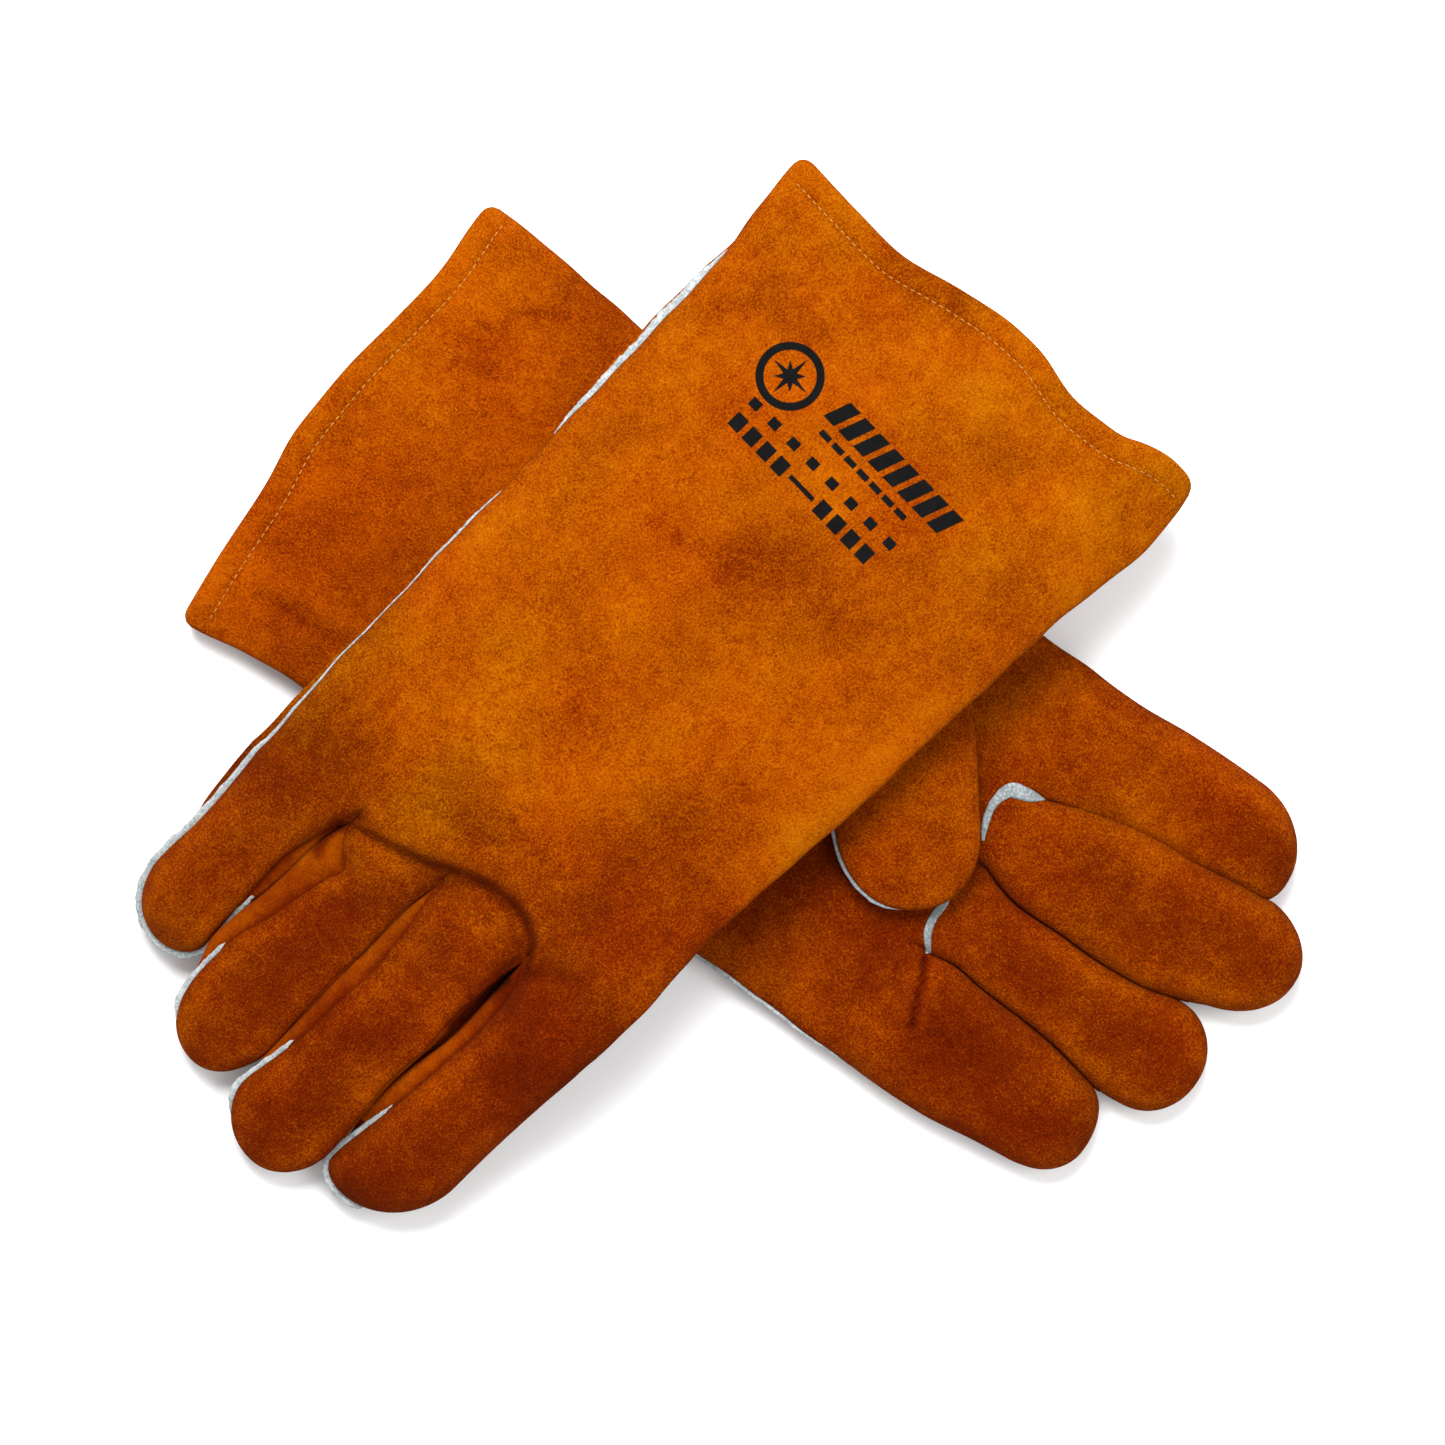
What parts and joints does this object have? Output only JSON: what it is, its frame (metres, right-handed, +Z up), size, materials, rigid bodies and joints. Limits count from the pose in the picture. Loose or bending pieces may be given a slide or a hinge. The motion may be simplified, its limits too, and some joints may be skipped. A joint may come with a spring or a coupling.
{
  "type": "welding gloves",
  "caption": "Long split-leather welding gauntlets with welted seams, laid crossed: the upper one back up, the lower one palm up with its thumb folded in.",
  "frame": {"origin": "centre of the pair's outline, on the surface that the lower glove lies on", "axes": "+X to the right across the crossed pair, +Y towards the cuffs, +Z up"},
  "size_m": [0.3724, 0.333, 0.057],
  "materials": {
    "split_leather": "suede, orange-brown, napped",
    "fourchette_leather": "suede, a deeper orange-brown",
    "welt_leather": "raw grey split-leather edge",
    "lining_canvas": "plain-weave cotton canvas",
    "lining_fleece": "napped cotton fleece"
  },
  "bodies": {
    "left_hand": {"left_back_panel": "split_leather", "left_cuff_lining": "lining_canvas", "left_finger_base_welt": "welt_leather", "left_hand_lining": "lining_fleece", "left_hem": "split_leather", "left_palm_panel": "split_leather", "left_side_welt": "welt_leather"},
    "left_index": {"left_index_back_side": "split_leather", "left_index_fourchette_little_side": "fourchette_leather", "left_index_palm_side": "split_leather", "left_index_tip_welt": "welt_leather"},
    "left_little": {"left_little_back_side": "split_leather", "left_little_fourchette_thumb_side": "fourchette_leather", "left_little_palm_side": "split_leather", "left_little_tip_welt": "welt_leather"},
    "left_middle": {"left_middle_back_side": "split_leather", "left_middle_fourchette_little_side": "fourchette_leather", "left_middle_fourchette_thumb_side": "fourchette_leather", "left_middle_palm_side": "split_leather", "left_middle_tip_welt": "welt_leather"},
    "left_ring": {"left_ring_back_side": "split_leather", "left_ring_fourchette_little_side": "fourchette_leather", "left_ring_fourchette_thumb_side": "fourchette_leather", "left_ring_palm_side": "split_leather", "left_ring_tip_welt": "welt_leather"},
    "left_thumb": {"left_thumb_inner_side": "split_leather", "left_thumb_outer_side": "split_leather", "left_thumb_welt": "welt_leather"},
    "right_hand": {"right_back_panel": "split_leather", "right_cuff_lining": "lining_canvas", "right_finger_base_welt": "welt_leather", "right_hand_lining": "lining_fleece", "right_hem": "split_leather", "right_palm_panel": "split_leather", "right_side_welt": "welt_leather"},
    "right_index": {"right_index_back_side": "split_leather", "right_index_fourchette_little_side": "fourchette_leather", "right_index_palm_side": "split_leather", "right_index_tip_welt": "welt_leather"},
    "right_little": {"right_little_back_side": "split_leather", "right_little_fourchette_thumb_side": "fourchette_leather", "right_little_palm_side": "split_leather", "right_little_tip_welt": "welt_leather"},
    "right_middle": {"right_middle_back_side": "split_leather", "right_middle_fourchette_little_side": "fourchette_leather", "right_middle_fourchette_thumb_side": "fourchette_leather", "right_middle_palm_side": "split_leather", "right_middle_tip_welt": "welt_leather"},
    "right_ring": {"right_ring_back_side": "split_leather", "right_ring_fourchette_little_side": "fourchette_leather", "right_ring_fourchette_thumb_side": "fourchette_leather", "right_ring_palm_side": "split_leather", "right_ring_tip_welt": "welt_leather"},
    "right_thumb": {"right_thumb_inner_side": "split_leather", "right_thumb_outer_side": "split_leather", "right_thumb_welt": "welt_leather"}
  },
  "joints": [
    {"name": "right_glove_lift", "type": "slide", "parent": "left_hand", "child": "right_hand", "axis": [0, 0, 1], "range_m": [0, 0.25]},
    {"name": "left_index_knuckle", "type": "hinge", "parent": "left_hand", "child": "left_index", "pos_m": [0.11801, -0.01221, 0.013], "axis": [-0.5034, -0.864, 0], "range_deg": [0, 75]},
    {"name": "left_middle_knuckle", "type": "hinge", "parent": "left_hand", "child": "left_middle", "pos_m": [0.0966, -0.04301, 0.013], "axis": [-0.5013, -0.8653, 0], "range_deg": [0, 75]},
    {"name": "left_ring_knuckle", "type": "hinge", "parent": "left_hand", "child": "left_ring", "pos_m": [0.07777, -0.0701, 0.013], "axis": [-0.5525, -0.8335, 0], "range_deg": [0, 75]},
    {"name": "left_little_knuckle", "type": "hinge", "parent": "left_hand", "child": "left_little", "pos_m": [0.05722, -0.09967, 0.013], "axis": [-0.5707, -0.8212, 0], "range_deg": [0, 75]},
    {"name": "left_thumb_swing", "type": "hinge", "parent": "left_hand", "child": "left_thumb", "pos_m": [0.05474, 0.02993, 0.0266], "axis": [0, 0, -1], "range_deg": [-45, 0]},
    {"name": "right_index_knuckle", "type": "hinge", "parent": "right_hand", "child": "right_index", "pos_m": [-0.05775, -0.10182, 0.042], "axis": [-0.7223, 0.6916, 0], "range_deg": [0, 40]},
    {"name": "right_middle_knuckle", "type": "hinge", "parent": "right_hand", "child": "right_middle", "pos_m": [-0.08336, -0.07512, 0.042], "axis": [-0.7213, 0.6926, 0], "range_deg": [0, 40]},
    {"name": "right_ring_knuckle", "type": "hinge", "parent": "right_hand", "child": "right_ring", "pos_m": [-0.10689, -0.05058, 0.042], "axis": [-0.7042, 0.71, 0], "range_deg": [0, 40]},
    {"name": "right_little_knuckle", "type": "hinge", "parent": "right_hand", "child": "right_little", "pos_m": [-0.1325, -0.02387, 0.042], "axis": [-0.7131, 0.7011, 0], "range_deg": [0, 40]},
    {"name": "right_thumb_swing", "type": "hinge", "parent": "right_hand", "child": "right_thumb", "pos_m": [-0.00601, -0.04597, 0.0293], "axis": [0, 0, -1], "range_deg": [-15, 0]}
  ]
}
